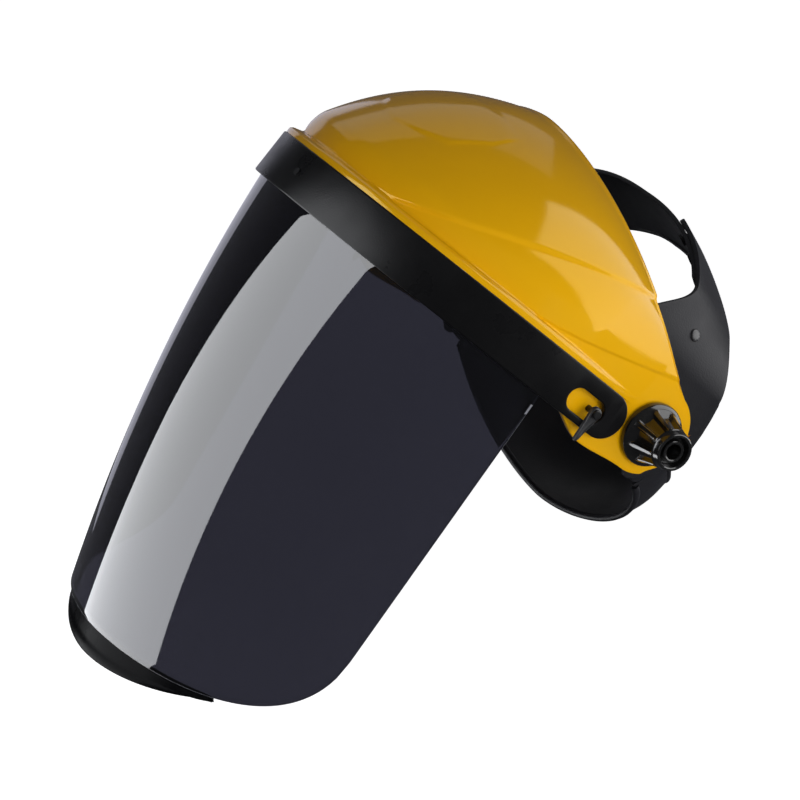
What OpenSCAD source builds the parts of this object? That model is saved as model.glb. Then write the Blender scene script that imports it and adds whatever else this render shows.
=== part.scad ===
// Face shield: brow guard with a tinted visor on a pin-lock head harness.
// X runs to the wearer's left, Y to the back of the head and Z up.
// The origin is midway between the two tilt pivots.

/* [Visor] */
// Outer half width of the visor frame
frame_half_w = 108.8; // [104:0.2:114]
// Distance from the pivots forward to the front of the frame
frame_front = 162; // [150:1:175]
// Distance from the pivots forward to the visor's rear edges
visor_rear = 61.6; // [50:0.2:70]
// Height of the visor frame
frame_h = 22; // [16:0.5:28]
// Level of the frame's lower edge
frame_low = -17; // [-22:0.5:-12]
// Thickness of the frame's wall
frame_th = 3.4; // [2.5:0.1:4.5]
// Sheet thickness of the visor
visor_th = 1.6; // [1:0.1:2.5]
// Height of the visor below its frame, at the front
visor_h = 205; // [150:1:240]
// Height of the visor below its frame, at its rear edges
visor_side_h = 142; // [100:1:180]
// Drop of the chin lip below the visor
chin_drop = 12; // [6:0.5:16]

/* [Brow guard] */
// Wall thickness of the guard
guard_th = 2.6; // [2:0.1:4]
// Height of the guard's crest above the pivots
guard_top = 83; // [80:1:92]
// Radius of the round end of each guard arm
arm_r = 20; // [17:0.5:23]
// Thickness of each guard arm
arm_th = 3.4; // [2.5:0.1:3.5]

/* [Pivots] */
// Inner face of each guard arm, from the middle
arm_x = 100.4; // [98:0.2:101]
// Diameter of the pivot bolts
bolt_d = 6; // [5:0.5:8]
// Diameter of the knob's flange
knob_d = 30; // [26:1:36]
// Diameter of the knob's tip
knob_tip_d = 19; // [16:1:22]
// Height of the knob
knob_h = 22; // [18:1:26]

/* [Head harness] */
// Half width of the harness over its side plates
harness_half_w = 88; // [84:0.5:89]
// Thickness of the harness plastic
strap_th = 2.2; // [1.6:0.1:3]
// Height of the crown strap above the pivots
crown_top = 90; // [84:1:95]
// Distance from the pivots forward to the forehead
forehead_front = 94; // [88:1:104]
// Height of the forehead band
forehead_h = 38; // [30:1:44]
// Thickness of the sweatband
sweat_th = 6; // [4:0.5:9]

/* [Hidden] */

$fn = 64;
eps = 0.01;
gap = 0.3;                                // running gap between moving faces
plan_n = 1.84;                            // roundness of the frame's front in plan
frame_top = frame_low + frame_h;
frame_end = 18;                           // the frame's round ends, forward of the pivots
arm_out = arm_x + arm_th;                 // outer face of the guard's arms
plate_x = harness_half_w;                 // outer face of the side plates
rim_z = frame_top;                        // the guard's rim stands on the frame
rim_h = 3.4;                              // height and setback of the guard's rim
rim_in = 1.4;
arm_back = -12;                           // the rim's ends, behind the pivots
arch_low = 20.5;                          // level where the rear arch leaves the arms
arch_y = 6.2;
guard_back = 74;                          // crest of the rear arch, forward of the pivots
dome_pull = [0.04, 0.4, 0.8];             // how far the dome's middle leans towards the arch
leg_share = 0.34;                         // share of a shell's steps along the straight legs
slot_y = -41;                             // middle of the latch slot
slot_z = -8;
slot_run = 11;
slot_w = 11;
latch_y = slot_y + slot_run / 2;          // the latch pin stands in the slot's rear end
latch_z = slot_z;
latch_pin_d = 3;
latch_r = 3.6;
latch_len = 15;
latch_th = 2;
rivet_d = 2.6;
rivet_head_d = 3.4;
rivet_head_h = 0.4;
visor_tuck = 17;                          // how far the visor reaches up inside its frame
visor_in = frame_th + 0.2;                // the sheet stands this far inside the frame's outer face
visor_taper = 16.6;                       // narrowing of each side from top to foot
visor_rake = 0.09;                        // slope of the front, and how it grows downwards
visor_bow = 0.00092;
visor_sweep = 26.8;                       // how far the foot's rear edges run back
foot_n = 2.04;                            // roundness of the foot seen from the front
clamp_in = visor_in + visor_th + 0.4;
clamp_th = 2;
clamp_end = 5;                            // plan angle of the clamp's ends
rivet_reach = 12;
chin_from = 36;                           // the lip starts at this plan angle on each side
lip_th = 1.8;
lip_tuck = 6;
lip_in = 4;
shell_n = 22;                             // steps from one side to the front of a shell
arch_base = 30;                           // level where the side plates start to curve over
plate_back = -35;                         // rear and front edges of the side plates there
plate_front = 30;
arch_drop = 8;                            // the crown strap's rear edge is this much lower
strap_back = -30;                         // rear and front edges of the crown strap
strap_front = 6;
strap_narrow = 0.6;                       // share of the width lost at the left half's tip
right_end = -0.62;                        // where the right half ends, on the left
band_x = plate_x - strap_th;              // outer face of the forehead band
tuck_x = band_x - gap;                    // outer face of the nape strap's tabs
bolt_head_th = 2.4;
bolt_head_d = 14;
bolt_head_x = band_x - strap_th - bolt_head_th - 0.2;
bolt_short = 8;                           // the bolt ends this far below the knob's top
spacer_d = 24;
washer_d = 28;
run = 0.06;                               // radial clearance of a running fit
spacer_x = 97.6;
washer_x = arm_x - gap;
knob_x = arm_out + gap;
knob_flange = 4;
insert_d = 10;                            // brass nut in the knob
insert_h = 8;
insert_x = knob_x + 2;
knob_hole_d = bolt_d + 1.6;
cup_d = insert_d + 1;                     // collar inside the knob's cupped tip
cup_depth = 4;
flutes = 9;
flute_d = 5.2;
flute_in = 1.4;
nape_peg_y = 31;                          // peg of the nape strap, and its slot
nape_peg_z = -4;
nape_run = 10;
band_rivet_y = 20;                        // rivet of the forehead band, forward of the pivots
band_rivet_z = 8;
peg_d = 4;
peg_head_d = 6.6;
peg_head_h = 1.2;
stud_v = 0.803;                           // snap stud above each pivot
stud_head_d = 5.4;
stud_head_h = 0.7;
crown_tuck = 3.2;                         // how far the right half lies under the left
crown_v = [0.28, 0.4];                    // where the crown pins stand on the arch
crown_pin_k = 0.8;
crown_pin_d = 3.4;
crown_pin_reach = 4.85;                   // through both halves

function sgn_pow(v, p) = sign(v) * pow(abs(v), p);
function lerp(a, b, k) = a + (b - a) * k;
function unit(v) = v / max(norm(v), 1e-9);
function bump(v, lo, hi) = v <= lo || v >= hi ? 0 : sin(180 * (v - lo) / (hi - lo));

// A point of the frame's plan at angle t, from 0 on the left to 180 on the right.
function plan(t, half_w, front, rear, n = plan_n) =
    [half_w * sgn_pow(cos(t), 2 / n), -(rear + (front - rear) * pow(max(sin(t), 0), 2 / n))];

// ---- shells: a grid of points given a thickness ----
function grid_normal(g, i, j) = let (r = len(g) - 1, c = len(g[0]) - 1)
    unit(cross(g[i][min(j + 1, c)] - g[i][max(j - 1, 0)], g[min(i + 1, r)][j] - g[max(i - 1, 0)][j]));

module shell(g, th) {
    r = len(g);
    c = len(g[0]);
    outer = [for (i = [0:r - 1]) for (j = [0:c - 1]) g[i][j]];
    inner = [for (i = [0:r - 1]) for (j = [0:c - 1]) g[i][j] - th * grid_normal(g, i, j)];
    function a(i, j) = i * c + j;
    function b(i, j) = r * c + i * c + j;
    faces = concat(
        [for (i = [0:r - 2]) for (j = [0:c - 2]) each
            [[a(i, j), a(i + 1, j), a(i + 1, j + 1)], [a(i, j), a(i + 1, j + 1), a(i, j + 1)],
             [b(i, j), b(i + 1, j + 1), b(i + 1, j)], [b(i, j), b(i, j + 1), b(i + 1, j + 1)]]],
        [for (j = [0:c - 2]) each
            [[a(0, j), a(0, j + 1), b(0, j + 1)], [a(0, j), b(0, j + 1), b(0, j)],
             [a(r - 1, j), b(r - 1, j + 1), a(r - 1, j + 1)], [a(r - 1, j), b(r - 1, j), b(r - 1, j + 1)]]],
        [for (i = [0:r - 2]) each
            [[a(i, 0), b(i + 1, 0), a(i + 1, 0)], [a(i, 0), b(i, 0), b(i + 1, 0)],
             [a(i, c - 1), a(i + 1, c - 1), b(i + 1, c - 1)], [a(i, c - 1), b(i + 1, c - 1), b(i, c - 1)]]]);
    polyhedron(concat(outer, inner), faces, convexity = 6);
}

// ---- helpers for plates and straps ----
// A side-view outline (x = forward, y = up) as a plate from x0 to x1.
module side_plate_at(x0, x1) translate([x0, 0, 0]) rotate([90, 0, 90]) linear_extrude(x1 - x0)
    mirror([1, 0]) children();

module x_cyl(x0, x1, d0, d1 = undef) translate([x0, 0, 0]) rotate([0, 90, 0])
    cylinder(h = x1 - x0, d1 = d0, d2 = is_undef(d1) ? d0 : d1);

module on_right() mirror([1, 0, 0]) children();
module both_sides() { children(); mirror([1, 0, 0]) children(); }

// A U in plan between angles t0 and t1, th thick, with its outside on the plan curve.
// leg adds straight ends that reach back that far.
module plan_band(half_w, front, rear, th, n, t0 = 0, t1 = 180, leg = 0, steps = 72) {
    angles = [for (k = [0:steps]) t0 + (t1 - t0) * k / steps];
    in_w = half_w - th;
    polygon(concat(leg > 0 ? [[half_w, leg]] : [],
                   [for (t = angles) plan(t, half_w, front, rear, n)],
                   leg > 0 ? [[-half_w, leg], [-in_w, leg]] : [],
                   [for (k = [steps:-1:0]) plan(angles[k], in_w, front - th, rear, n)],
                   leg > 0 ? [[in_w, leg]] : []));
}

// The frame's U with straight legs back to leg_end.
module frame_plan(inset, th, leg_end) {
    plan_band(frame_half_w - inset, frame_front - inset, visor_rear - eps, th, plan_n);
    both_sides() translate([frame_half_w - inset - th, -visor_rear]) square([th, visor_rear - leg_end]);
}

// ---- visor ----
module visor_frame() color([0.07, 0.07, 0.075]) difference() {
    union() {
        translate([0, 0, frame_low]) linear_extrude(frame_h) frame_plan(0, frame_th, frame_end + frame_h / 2);
        both_sides() translate([0, -frame_end - frame_h / 2, frame_low + frame_h / 2])
            x_cyl(frame_half_w - frame_th, frame_half_w, frame_h);
    }
    both_sides() {
        for (k = [-1, 1]) translate([0, slot_y + k * slot_run / 2, slot_z])
            x_cyl(frame_half_w - frame_th - 1, frame_half_w + 1, slot_w);
        translate([frame_half_w - frame_th - 1, slot_y - slot_run / 2, slot_z - slot_w / 2])
            cube([frame_th + 2, slot_run, slot_w]);
    }
    rivet_at(rivet_d, rivet_reach);
}

module rivet_at(d, len) translate([0, -frame_front + 6, frame_low + frame_h / 2])
    rotate([90, 0, 0]) cylinder(h = len, d = d, center = true);

// A point of the visor's outer face at plan angle t and depth k, from 0 at its top to 1 at its foot.
function visor_depth(t, k) = let (s = 1 - abs(t - 90) / 90)
    k * (visor_side_h + (visor_h - visor_side_h) * pow(1 - pow(1 - s, foot_n), 1 / foot_n));
function visor_point(t, h) = let (g = max(h, 0), w = g / visor_h)
    concat(plan(t, frame_half_w - visor_in - visor_taper * w,
                frame_front - visor_in - visor_rake * g - visor_bow * g * g,
                visor_rear - visor_sweep * w), [frame_low - h]);

module visor() color([0.16, 0.16, 0.2, 0.6]) difference() {
    shell([for (j = [0:10]) [for (i = [0:2 * shell_n]) let (t = 90 * i / shell_n)
        visor_point(t, j == 0 ? -visor_tuck : visor_depth(t, (j - 1) / 9))]], visor_th);
    rivet_at(rivet_d, rivet_reach);
}

module visor_clamp() color([0.09, 0.09, 0.1]) difference() {
    translate([0, 0, frame_low + 1.5]) linear_extrude(visor_tuck)
        plan_band(frame_half_w - clamp_in, frame_front - clamp_in, visor_rear, clamp_th, plan_n,
                  clamp_end, 180 - clamp_end);
    rivet_at(rivet_d, rivet_reach);
}

// Crescent lip hung from the foot of the visor, deepest at the chin.
function lip_point(t, k) = let (b = bump(t, chin_from, 180 - chin_from),
                                p = visor_point(t, visor_depth(t, 1)))
    [p[0] * (1 - 0.03 * k), p[1] * (1 - 0.03 * k) + lip_in * k * b,
     p[2] + lip_tuck * (1 - 2 * min(k, 0.5)) - chin_drop * max(2 * k - 1, 0) * b];
module chin_lip() color([0.06, 0.06, 0.065]) shell(
    [for (j = [0:4]) [for (i = [0:shell_n]) let (t = chin_from + 2 + (176 - 2 * chin_from) * i / shell_n)
        lip_point(t, j / 4)]], lip_th);

module frame_rivets() color([0.05, 0.05, 0.05]) {
    intersection() {
        rivet_at(rivet_d - 0.02, 40);
        translate([-5, -frame_front - rivet_head_h / 2, frame_low])
            cube([10, clamp_in + clamp_th + 0.8, frame_h]);
    }
    translate([0, -frame_front - rivet_head_h, frame_low + frame_h / 2])
        rotate([-90, 0, 0]) cylinder(h = rivet_head_h, d = rivet_head_d);
}

module latch() {
    translate([0, latch_y, latch_z]) difference() {
        union() {
            x_cyl(frame_half_w + gap, frame_half_w + gap + latch_th, 2 * latch_r);
            side_plate_at(frame_half_w + gap, frame_half_w + gap + latch_th) polygon([
                [-latch_r, 0], [latch_r, 0], [2.2, -latch_len * 0.7], [2.6, -latch_len], [1.6, -latch_len]]);
        }
        x_cyl(frame_half_w, frame_half_w + latch_th + 1, latch_pin_d);
    }
}
module latch_pin() translate([0, latch_y, latch_z]) {
    x_cyl(arm_x, frame_half_w + gap + latch_th + gap + eps, latch_pin_d - 0.1);
    x_cyl(frame_half_w + gap + latch_th + gap, frame_half_w + gap + latch_th + 1.3, latch_pin_d + 1.6);
}
module latch_left() color([0.14, 0.14, 0.15]) latch();
module latch_right() color([0.14, 0.14, 0.15]) on_right() latch();
module latch_pin_left() color([0.1, 0.1, 0.1]) latch_pin();
module latch_pin_right() color([0.1, 0.1, 0.1]) on_right() latch_pin();

// ---- brow guard ----
// Rim of the guard for s from 0 at the arm to 1 at the front.
function rim_point(s) = s < leg_share
    ? let (y = lerp(arm_back, visor_rear, s / leg_share),
           out = pow(max((y - frame_end) / (visor_rear - frame_end), 0), 0.8))
      [lerp(arm_out - 0.2, frame_half_w - rim_in, out), -y, rim_z + rim_h - 0.5]
    : concat(plan(90 * (s - leg_share) / (1 - leg_share), frame_half_w - rim_in, frame_front - rim_in,
                  visor_rear), [rim_z + rim_h - 0.5]);
// Rear edge of the guard, arching from one arm to the other.
function arch_point(s) = let (up = sin(90 * s))
    [(arm_out - 0.2) * sgn_pow(cos(90 * s), 1.18), lerp(arch_y, -guard_back, pow(up, 0.79)),
     lerp(arch_low, guard_top, pow(up, 0.965))];
function guard_point(s, k) = let (a = rim_point(s), b = arch_point(s),
        c = [for (i = [0:2]) lerp(a[i], b[i], dome_pull[i])])
    (1 - k) * (1 - k) * a + 2 * k * (1 - k) * c + k * k * b;
function mirror_x(p) = [-p[0], p[1], p[2]];

module arm_outline() union() {
    circle(r = arm_r);
    polygon([[0, -arm_r], [28, -arm_r - 2.5], [visor_rear - 6, frame_low + 2], [visor_rear - 6, frame_top],
             [arm_back + 32, arch_low - 6], [6, arch_low], [-6, arch_low - 2], [-arm_r + 2, 4]]);
}
module guard_arm() difference() {
    side_plate_at(arm_x, arm_out) arm_outline();
    x_cyl(arm_x - 1, arm_out + 1, bolt_d + 0.16);
    translate([0, latch_y, latch_z]) x_cyl(arm_x - 1, arm_out + 1, latch_pin_d);
}
module brow_guard() color([0.87, 0.6, 0.05]) {
    shell([for (j = [8:-1:0]) [for (i = [0:2 * shell_n]) let (s = 1 - abs(i - shell_n) / shell_n,
        p = guard_point(s, j / 8)) i <= shell_n ? p : mirror_x(p)]], guard_th);
    translate([0, 0, rim_z]) linear_extrude(rim_h)
        frame_plan(rim_in - 0.6, 4, frame_end + 6);
    both_sides() guard_arm();
}

// ---- pivots ----
module pivot_bolt() {
    x_cyl(bolt_head_x, bolt_head_x + bolt_head_th, bolt_head_d);
    x_cyl(bolt_head_x + bolt_head_th - eps, knob_x + knob_h - bolt_short, bolt_d);
}
module ring_x(x0, x1, d, bore) difference() {
    x_cyl(x0, x1, d);
    x_cyl(x0 - 1, x1 + 1, bore);
}
module knob() difference() {
    union() {
        x_cyl(knob_x, knob_x + knob_flange, knob_d);
        difference() {
            x_cyl(knob_x + knob_flange - eps, knob_x + knob_h, knob_d - 3, knob_tip_d);
            for (k = [0:flutes - 1]) rotate([k * 360 / flutes, 0, 0])
                translate([0, 0, knob_d / 2 - flute_in])
                    x_cyl(knob_x + knob_flange + 1, knob_x + knob_h + 1, flute_d);
        }
    }
    x_cyl(knob_x - 1, insert_x + 1, bolt_d + 2 * run);
    x_cyl(insert_x, insert_x + insert_h, insert_d);
    x_cyl(insert_x + insert_h - 1, knob_x + knob_h + 1, knob_hole_d);
    difference() {
        x_cyl(knob_x + knob_h - cup_depth, knob_x + knob_h + 1, knob_tip_d - 3);
        x_cyl(knob_x + knob_h - cup_depth - 1, knob_x + knob_h - 0.8, cup_d);
    }
}
module pivot_spacer() ring_x(plate_x, spacer_x, spacer_d, bolt_d + 2 * run);
module friction_washer() ring_x(spacer_x, washer_x, washer_d, bolt_d + 2 * run);
module knob_insert() ring_x(insert_x, insert_x + insert_h, insert_d, bolt_d + 2 * run);

module pivot_bolt_left() color([0.35, 0.35, 0.36]) pivot_bolt();
module pivot_bolt_right() color([0.35, 0.35, 0.36]) on_right() pivot_bolt();
module pivot_spacer_left() color([0.1, 0.1, 0.1]) pivot_spacer();
module pivot_spacer_right() color([0.1, 0.1, 0.1]) on_right() pivot_spacer();
module friction_washer_left() color([0.2, 0.2, 0.2]) friction_washer();
module friction_washer_right() color([0.2, 0.2, 0.2]) on_right() friction_washer();
module knob_left() color([0.05, 0.05, 0.05]) knob();
module knob_right() color([0.05, 0.05, 0.05]) on_right() knob();
module knob_insert_left() color([0.75, 0.6, 0.3]) knob_insert();
module knob_insert_right() color([0.75, 0.6, 0.3]) on_right() knob_insert();

// ---- head harness ----
harness_grey = [0.14, 0.14, 0.15];

module band_outline(m = 0) polygon([[-13, -12 + m], [-13, 28 - m], [30, 32 - m], [62, 42 - m],
    [forehead_front + 2, 8 + forehead_h - m], [forehead_front + 2, 8 + m], [60, 3 + m],
    [30, -5 + m], [10, -12 + m]]);
module bolt_holes() both_sides() x_cyl(band_x - strap_th - 4, plate_x + 4, bolt_d + 2 * run);
module band_rivet_holes() both_sides() translate([0, -band_rivet_y, band_rivet_z])
    x_cyl(band_x - 10, plate_x + 4, peg_d);

module forehead_band() color(harness_grey) difference() {
    intersection() {
        translate([0, 0, -20]) linear_extrude(80)
            plan_band(band_x, forehead_front, 0, strap_th, 2.2, leg = 20);
        side_plate_at(-130, 130) band_outline();
    }
    bolt_holes();
    band_rivet_holes();
}
module sweatband() color([0.05, 0.05, 0.05]) intersection() {
    translate([0, 0, -20]) linear_extrude(80)
        plan_band(band_x - strap_th - 0.2, forehead_front - strap_th - 0.2, 0, sweat_th, 2.2, 26, 154);
    side_plate_at(-130, 130) band_outline(2);
}
module band_rivets() color([0.1, 0.1, 0.1]) both_sides() translate([0, -band_rivet_y, band_rivet_z])
    peg(band_x - strap_th - 2.1);
// A peg through the plates from inner to the plate's outer face, with a head at each end.
module peg(inner) {
    x_cyl(inner, plate_x, peg_d - 0.04);
    x_cyl(plate_x, plate_x + peg_head_h, peg_head_d);
    x_cyl(inner - peg_head_h, inner, peg_head_d);
}

// Crown arch: v is 1 at the left plate, 0 on top of the head and -1 at the right plate;
// k is 0 at the strap's rear edge and 1 at its front edge.
function smooth(v) = let (u = min(max(v, 0), 1)) u * u * (3 - 2 * u);
function arch_level(v, k) = let (n = lerp(1.7, 2.2, k)) arch_base
    + (crown_top - arch_base - arch_drop * (1 - k)) * pow(sin(90 * (1 - abs(v))), 2 / n);
function crown_point(v, k, inset) = let (n = lerp(1.7, 2.2, k), z = arch_level(v, k),
        front = lerp(plate_front, strap_front, smooth((z - 40) / 26)),
        back = lerp(plate_back, strap_back, smooth((z - 25) / 30)))
    [sign(v) * ((plate_x - 0.12) * pow(cos(90 * (1 - abs(v))), 2 / n) - inset * abs(v)),
     -lerp(back, front, k), z - inset * (1 - abs(v))];
function plate_root(k) = [plate_x - 0.12, -lerp(plate_back, plate_front, k), arch_base - 3];
// The left half narrows towards its tip.
function strap_from(v, narrow) = narrow * smooth((0.62 - v) / 0.35);

module plate_outline() polygon([[-36, -8], [-38.5, 6], [-38, 14], [plate_back, arch_base + 0.5],
    [plate_front, arch_base + 0.5], [plate_front, 2], [14, -14], [-10, -16], [-18, -22]]);
module side_plate(v_end, tuck, narrow, pin_side) difference() {
    union() {
        side_plate_at(plate_x - strap_th, plate_x) plate_outline();
        shell([for (j = [-1:18]) [for (i = [6:-1:0]) let (v = 1 - (1 - v_end) * j / 18)
            j < 0 ? plate_root(i / 6)
                  : crown_point(v, lerp(strap_from(v, narrow), 1, i / 6), tuck * smooth((1 - v) / 0.6))]],
            strap_th - 0.2);
    }
    bolt_holes();
    band_rivet_holes();
    translate([0, nape_peg_y, nape_peg_z]) x_cyl(plate_x - 10, plate_x + 4, peg_d);
    at_crown(stud_v, 0.5) translate([0, 0, -10]) cylinder(h = 20, d = peg_d);
    for (v = crown_v) at_crown(pin_side * v, crown_pin_k) translate([0, 0, -10])
        cylinder(h = 20, d = crown_pin_d);
}
module side_plate_left() color(harness_grey) side_plate(0.2, 0, strap_narrow, 1);
module side_plate_right() color(harness_grey) on_right() side_plate(right_end, crown_tuck, 0, -1);

// Puts its children on the crown strap at v and k, with +Z outward.
module at_crown(v, k) {
    n = unit(cross(crown_point(v - 0.03, k, 0) - crown_point(v + 0.03, k, 0),
                   crown_point(v, k + 0.1, 0) - crown_point(v, k - 0.1, 0)));
    translate(crown_point(v, k, 0)) rotate([0, acos(n[2]), atan2(n[1], n[0])]) children();
}
module crown_pins() color([0.1, 0.1, 0.1]) for (v = crown_v) at_crown(v, crown_pin_k) {
    translate([0, 0, -crown_pin_reach]) cylinder(h = crown_pin_reach, d = crown_pin_d - 0.04);
    translate([0, 0, -crown_pin_reach - peg_head_h]) cylinder(h = peg_head_h, d = 6);
}
module plate_stud(sink) at_crown(stud_v, 0.5) translate([0, 0, -sink]) {
    translate([0, 0, -strap_th - 1]) cylinder(h = strap_th + 1.2, d = peg_d - 0.04);
    translate([0, 0, 0.15]) cylinder(h = stud_head_h, d1 = stud_head_d, d2 = stud_head_d - 1.4);
}
module plate_studs() color([0.1, 0.1, 0.1]) {
    plate_stud(0);
    on_right() plate_stud(crown_tuck / 5);
}

// Nape strap: t runs from 0 on the left round the back to 180; k is 0 at the top edge.
function nape_point(t, k) = let (c = cos(t), s = sin(t),
        top = [tuck_x * sgn_pow(c, 0.8), 36 + 42 * pow(s, 1.8), -4 - 10 * s],
        low = [tuck_x * sgn_pow(c, 1.19), 26.7 + 30.5 * pow(s, 0.8), -22.7 - 31.7 * pow(s, 1.18)])
    top + (low - top) * k + [0, 5 * s, -2 * s] * sin(180 * k);
module nape_strap() color(harness_grey) difference() {
    union() {
        shell([for (j = [6:-1:0]) [for (i = [0:36]) nape_point(180 * i / 36, j / 6)]], strap_th - 0.3);
        both_sides() side_plate_at(tuck_x - strap_th, tuck_x - 0.1)
            polygon([[-36.5, -5], [-37, 4], [-16, 2], [-14, -14], [-18, -20], [-27, -22.2]]);
    }
    both_sides() for (k = [0, 1]) translate([0, nape_peg_y - k * nape_run, nape_peg_z]) x_cyl(70, 100, 4.4);
    both_sides() translate([70, nape_peg_y - nape_run, nape_peg_z - 2.2]) cube([30, nape_run, 4.4]);
}
module nape_pegs() color([0.1, 0.1, 0.1]) both_sides() translate([0, nape_peg_y, nape_peg_z])
    peg(tuck_x - strap_th - 0.5);

forehead_band();
sweatband();
side_plate_left();
side_plate_right();
band_rivets();
crown_pins();
plate_studs();
nape_strap();
nape_pegs();
pivot_bolt_left();
pivot_bolt_right();
pivot_spacer_left();
pivot_spacer_right();
friction_washer_left();
friction_washer_right();
knob_left();
knob_right();
knob_insert_left();
knob_insert_right();
brow_guard();
visor_frame();
visor();
visor_clamp();
chin_lip();
frame_rivets();
latch_left();
latch_right();
latch_pin_left();
latch_pin_right();
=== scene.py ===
"""A face shield: a yellow brow guard with a smoke visor, on a pin-lock head harness."""

import math

import bmesh
import bpy
from mathutils import Matrix, Vector


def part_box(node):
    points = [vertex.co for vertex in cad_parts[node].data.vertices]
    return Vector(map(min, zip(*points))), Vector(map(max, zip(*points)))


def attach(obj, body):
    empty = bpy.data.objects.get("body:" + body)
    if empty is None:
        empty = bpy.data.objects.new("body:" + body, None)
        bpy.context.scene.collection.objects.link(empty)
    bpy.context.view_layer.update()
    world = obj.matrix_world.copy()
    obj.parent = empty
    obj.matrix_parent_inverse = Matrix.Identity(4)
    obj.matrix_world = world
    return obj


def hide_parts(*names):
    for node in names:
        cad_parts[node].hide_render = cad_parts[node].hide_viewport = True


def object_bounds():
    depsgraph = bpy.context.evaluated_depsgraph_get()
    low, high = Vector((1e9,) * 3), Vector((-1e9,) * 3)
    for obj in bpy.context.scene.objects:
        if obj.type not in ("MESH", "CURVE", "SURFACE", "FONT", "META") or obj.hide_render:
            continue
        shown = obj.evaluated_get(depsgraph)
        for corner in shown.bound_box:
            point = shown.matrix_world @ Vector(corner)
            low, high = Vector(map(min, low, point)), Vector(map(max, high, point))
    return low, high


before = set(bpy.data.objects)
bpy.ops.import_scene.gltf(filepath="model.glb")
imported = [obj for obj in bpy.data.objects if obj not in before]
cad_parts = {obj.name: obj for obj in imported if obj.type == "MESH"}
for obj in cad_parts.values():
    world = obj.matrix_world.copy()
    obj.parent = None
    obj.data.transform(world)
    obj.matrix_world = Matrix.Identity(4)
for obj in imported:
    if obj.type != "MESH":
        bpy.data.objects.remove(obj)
cad_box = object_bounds()

# ---------------------------------------------------------------- sizes, in millimetres
MM = 0.001


def node_box(node):
    """Lowest and highest corner of a CAD node, in millimetres."""
    lo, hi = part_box(node)
    return Vector(lo) / MM, Vector(hi) / MM


FRAME_LO, FRAME_HI = node_box("visor_frame")
HALF_W = FRAME_HI.x                    # outer half width of the visor frame
FRONT = -FRAME_LO.y                    # from the pivots forward to the frame's front
FRAME_LOW, FRAME_TOP = FRAME_LO.z, FRAME_HI.z
FRAME_TH = 3.4
FRAME_END = -FRAME_HI.y                # the frame's round ends
VISOR_REAR = 61.6                      # where the frame's front curve starts
PLAN_N = 1.84
VISOR_TH = 1.6
VISOR_H = 205.0
VISOR_SIDE_H = 142.0
VISOR_TUCK = 17.0
GUARD_TH = 2.6
ARM_X = 100.4
ARM_OUT = 103.8
ARM_R = 20.0
BAND_X = 85.8                          # outer face of the forehead band
BAND_FRONT = 94.0                      # and its front
PLATE_X = 88.0                         # outer face of the side plates
STRAP_TH = 2.2
KNOB_X = node_box("knob_left")[0].x
KNOB_TOP = node_box("knob_left")[1].x
SLOT_Y, SLOT_Z, SLOT_RUN, SLOT_W = -41.0, -8.0, 11.0, 11.0
LATCH_Y, LATCH_Z = SLOT_Y + SLOT_RUN / 2, SLOT_Z


# ---------------------------------------------------------------- small maths
def lerp(a, b, k):
    return a + (b - a) * k


def smooth(v):
    u = min(max(v, 0.0), 1.0)
    return u * u * (3 - 2 * u)


def sgn_pow(v, p):
    return math.copysign(abs(v) ** p, v) if v else 0.0


def cosd(t):
    return math.cos(math.radians(t))


def sind(t):
    return math.sin(math.radians(t))


def plan(t, half_w, front, rear, n=PLAN_N):
    """A point of a frame's plan at angle t, from 0 on the left to 180 on the right."""
    s = max(sind(t), 0.0)
    return half_w * sgn_pow(cosd(t), 2 / n), -(rear + (front - rear) * s ** (2 / n))


# ---------------------------------------------------------------- making pieces
def mesh_of(name, bm):
    """A mesh from a bmesh, which is freed."""
    mesh = bpy.data.meshes.new(name)
    bm.to_mesh(mesh)
    bm.free()
    return mesh


def placed(name, data):
    """A new object in the scene."""
    obj = bpy.data.objects.new(name, data)
    bpy.context.scene.collection.objects.link(obj)
    return obj


def new_piece(name, bm, body, material, replaces=(), angle=35):
    """An object from a bmesh in millimetres, smooth where its faces meet under the angle."""
    bmesh.ops.recalc_face_normals(bm, faces=bm.faces[:])
    bm.transform(Matrix.Scale(MM, 4))
    obj = placed(name, mesh_of(name, bm))
    obj.data.shade_smooth()
    obj.data.set_sharp_from_angle(angle=math.radians(angle))
    obj.data.materials.append(material)
    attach(obj, body)
    if replaces:
        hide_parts(*replaces)
    return obj


def baked(bm, modifiers):
    """A bmesh after a list of (type, settings) modifiers."""
    obj = placed("work", mesh_of("work", bm))
    for kind, settings in modifiers:
        mod = obj.modifiers.new(kind.lower(), kind)
        for key, value in settings.items():
            setattr(mod, key, value)
    depsgraph = bpy.context.evaluated_depsgraph_get()
    done = bpy.data.meshes.new_from_object(obj.evaluated_get(depsgraph))
    bpy.data.objects.remove(obj)
    out = bmesh.new()
    out.from_mesh(done)
    return out


def bevel(width, segments=2, angle=40):
    return "BEVEL", {"width": width, "segments": segments, "limit_method": "ANGLE",
                     "angle_limit": math.radians(angle), "use_clamp_overlap": True}


def cut_by(bm, cutter):
    """A bmesh with another one cut out of it."""
    tool = placed("cutter", mesh_of("cutter", cutter))
    out = baked(bm, [("BOOLEAN", {"operation": "DIFFERENCE", "object": tool, "solver": "EXACT"})])
    bpy.data.objects.remove(tool)
    return out


def grid(rows):
    """A surface through rows of points."""
    bm = bmesh.new()
    verts = [[bm.verts.new(p) for p in row] for row in rows]
    for a, b in zip(verts, verts[1:]):
        for i in range(len(a) - 1):
            bm.faces.new((a[i], a[i + 1], b[i + 1], b[i]))
    return bm


def wrapped(bm, rings):
    """Faces between closed rings of vertices."""
    for a, b in zip(rings, rings[1:]):
        for k in range(len(a)):
            m = (k + 1) % len(a)
            bm.faces.new((a[k], a[m], b[m], b[k]))


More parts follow.
